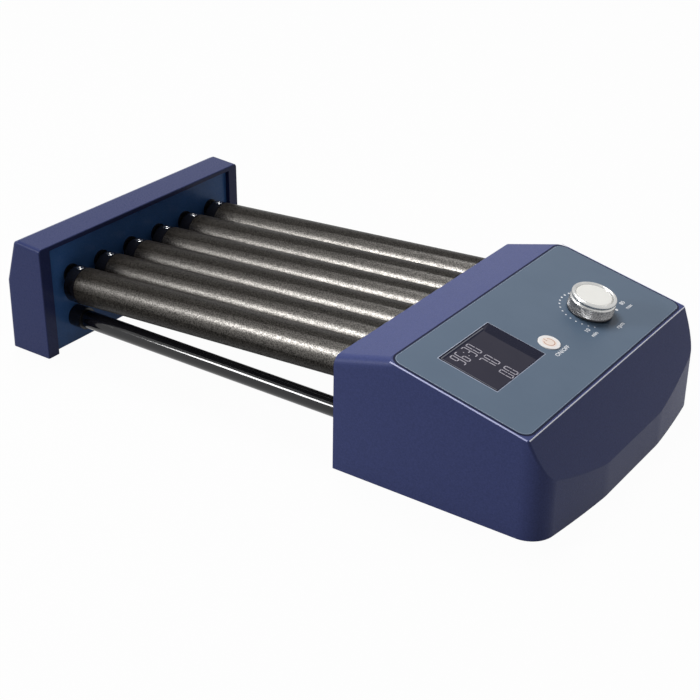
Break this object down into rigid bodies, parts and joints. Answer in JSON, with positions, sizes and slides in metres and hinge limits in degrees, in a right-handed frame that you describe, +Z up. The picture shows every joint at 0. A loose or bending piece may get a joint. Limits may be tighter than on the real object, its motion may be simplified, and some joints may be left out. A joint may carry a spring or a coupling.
{
  "type": "tube roller",
  "caption": "Laboratory tube roller: a sloped drive head with a display, button and knob turns a row of dark tilted rollers held by an end cover and two round rods.",
  "frame": {"origin": "middle of the footprint on the table top, under the middle of the overall length and width", "axes": "+X along the rollers towards the drive head, +Y across them towards the far side, +Z up"},
  "size_m": [0.511, 0.25, 0.1115],
  "materials": {
    "navy_housing": "satin",
    "navy_plate": "satin",
    "overlay_film": "satin",
    "display_glass": "polished",
    "display_dark": "satin",
    "board_green": "satin",
    "button_white": "satin",
    "knob_metal": "polished",
    "knob_ivory": "satin",
    "sleeve_black": "textured",
    "cap_black": "polished",
    "rod_black": "polished",
    "black_polymer": "satin",
    "gear_acetal": "satin",
    "brass_gear": "machined",
    "zinc_steel": "machined",
    "bright_steel": "polished",
    "foot_rubber": "matte"
  },
  "bodies": {
    "frame": {"head_shell": "navy_housing", "head_base_plate": "zinc_steel", "head_feet": "foot_rubber", "drive_plate": "zinc_steel", "drive_bushes": "black_polymer", "transfer_pins": "zinc_steel", "drive_plate_screws": "zinc_steel", "motor_plate": "zinc_steel", "motor_standoffs": "bright_steel", "motor_screws": "zinc_steel", "gearbox": "zinc_steel", "motor": "zinc_steel", "panel_overlay": "overlay_film", "display_window": "display_glass", "display_module": "display_dark", "control_board": "board_green", "board_standoffs": "black_polymer", "button_switch": "black_polymer", "encoder_body": "zinc_steel", "encoder_nut": "zinc_steel", "power_inlet": "black_polymer", "inlet_nut": "black_polymer", "support_rods": "rod_black", "rod_collars": "black_polymer", "rod_nuts": "zinc_steel", "cover_shell": "navy_housing", "cover_inner_plate": "navy_plate", "cover_bushes": "black_polymer", "cover_feet": "foot_rubber", "base_screws": "zinc_steel"},
    "roller_1": {"roller_sleeve_1": "sleeve_black", "roller_caps_1": "cap_black", "roller_gear_1": "gear_acetal"},
    "roller_2": {"roller_sleeve_2": "sleeve_black", "roller_caps_2": "cap_black", "roller_gear_2": "gear_acetal"},
    "roller_3": {"roller_sleeve_3": "sleeve_black", "roller_caps_3": "cap_black", "roller_gear_3": "gear_acetal"},
    "roller_4": {"roller_sleeve_4": "sleeve_black", "roller_caps_4": "cap_black", "roller_gear_4": "gear_acetal"},
    "roller_5": {"roller_sleeve_5": "sleeve_black", "roller_caps_5": "cap_black", "roller_gear_5": "gear_acetal"},
    "roller_6": {"roller_sleeve_6": "sleeve_black", "roller_caps_6": "cap_black", "roller_gear_6": "gear_acetal"},
    "transfer_1": {"transfer_gear_1": "gear_acetal"},
    "transfer_2": {"transfer_gear_2": "gear_acetal"},
    "transfer_3": {"transfer_gear_3": "gear_acetal"},
    "transfer_4": {"transfer_gear_4": "gear_acetal"},
    "transfer_5": {"transfer_gear_5": "gear_acetal"},
    "pinion": {"drive_pinion": "brass_gear", "motor_shaft": "bright_steel"},
    "knob": {"knob_body": "knob_metal", "knob_cap": "knob_ivory", "encoder_shaft": "bright_steel"},
    "button": {"power_button": "button_white"}
  },
  "joints": [
    {"name": "roller_1_turn", "type": "hinge", "parent": "frame", "child": "roller_1", "pos_m": [-0.0703, -0.089, 0.069], "axis": [1, 0, 0], "continuous": true},
    {"name": "roller_2_turn", "type": "hinge", "parent": "frame", "child": "roller_2", "pos_m": [-0.0703, -0.0534, 0.069], "axis": [1, 0, 0], "continuous": true},
    {"name": "roller_3_turn", "type": "hinge", "parent": "frame", "child": "roller_3", "pos_m": [-0.0703, -0.0178, 0.069], "axis": [1, 0, 0], "continuous": true},
    {"name": "roller_4_turn", "type": "hinge", "parent": "frame", "child": "roller_4", "pos_m": [-0.0703, 0.0178, 0.069], "axis": [1, 0, 0], "continuous": true},
    {"name": "roller_5_turn", "type": "hinge", "parent": "frame", "child": "roller_5", "pos_m": [-0.0703, 0.0534, 0.069], "axis": [1, 0, 0], "continuous": true},
    {"name": "roller_6_turn", "type": "hinge", "parent": "frame", "child": "roller_6", "pos_m": [-0.0703, 0.089, 0.069], "axis": [1, 0, 0], "continuous": true},
    {"name": "transfer_1_turn", "type": "hinge", "parent": "frame", "child": "transfer_1", "pos_m": [0.0947, -0.0712, 0.05524], "axis": [1, 0, 0], "continuous": true},
    {"name": "transfer_2_turn", "type": "hinge", "parent": "frame", "child": "transfer_2", "pos_m": [0.0947, -0.0356, 0.05524], "axis": [1, 0, 0], "continuous": true},
    {"name": "transfer_3_turn", "type": "hinge", "parent": "frame", "child": "transfer_3", "pos_m": [0.0947, 0, 0.05524], "axis": [1, 0, 0], "continuous": true},
    {"name": "transfer_4_turn", "type": "hinge", "parent": "frame", "child": "transfer_4", "pos_m": [0.0947, 0.0356, 0.05524], "axis": [1, 0, 0], "continuous": true},
    {"name": "transfer_5_turn", "type": "hinge", "parent": "frame", "child": "transfer_5", "pos_m": [0.0947, 0.0712, 0.05524], "axis": [1, 0, 0], "continuous": true},
    {"name": "pinion_turn", "type": "hinge", "parent": "frame", "child": "pinion", "pos_m": [0.0947, 0, 0.03574], "axis": [1, 0, 0], "continuous": true},
    {"name": "knob_turn", "type": "hinge", "parent": "frame", "child": "knob", "pos_m": [0.18802, 0.05365, 0.10073], "axis": [0.2244, 0, 0.9745], "range_deg": [-128, 128]},
    {"name": "button_press", "type": "slide", "parent": "frame", "child": "button", "axis": [-0.2244, 0, -0.9745], "range_m": [0, 0.001], "stiffness_N_per_m": 400}
  ],
  "couplings": [
    {"joint": "roller_2_turn", "follows": "roller_1_turn", "ratio": 1},
    {"joint": "roller_3_turn", "follows": "roller_1_turn", "ratio": 1},
    {"joint": "roller_4_turn", "follows": "roller_1_turn", "ratio": 1},
    {"joint": "roller_5_turn", "follows": "roller_1_turn", "ratio": 1},
    {"joint": "roller_6_turn", "follows": "roller_1_turn", "ratio": 1},
    {"joint": "transfer_1_turn", "follows": "roller_1_turn", "ratio": -1.1429},
    {"joint": "transfer_2_turn", "follows": "roller_1_turn", "ratio": -1.1429},
    {"joint": "transfer_3_turn", "follows": "roller_1_turn", "ratio": -1.1429},
    {"joint": "transfer_4_turn", "follows": "roller_1_turn", "ratio": -1.1429},
    {"joint": "transfer_5_turn", "follows": "roller_1_turn", "ratio": -1.1429},
    {"joint": "pinion_turn", "follows": "roller_1_turn", "ratio": 1.3333}
  ]
}
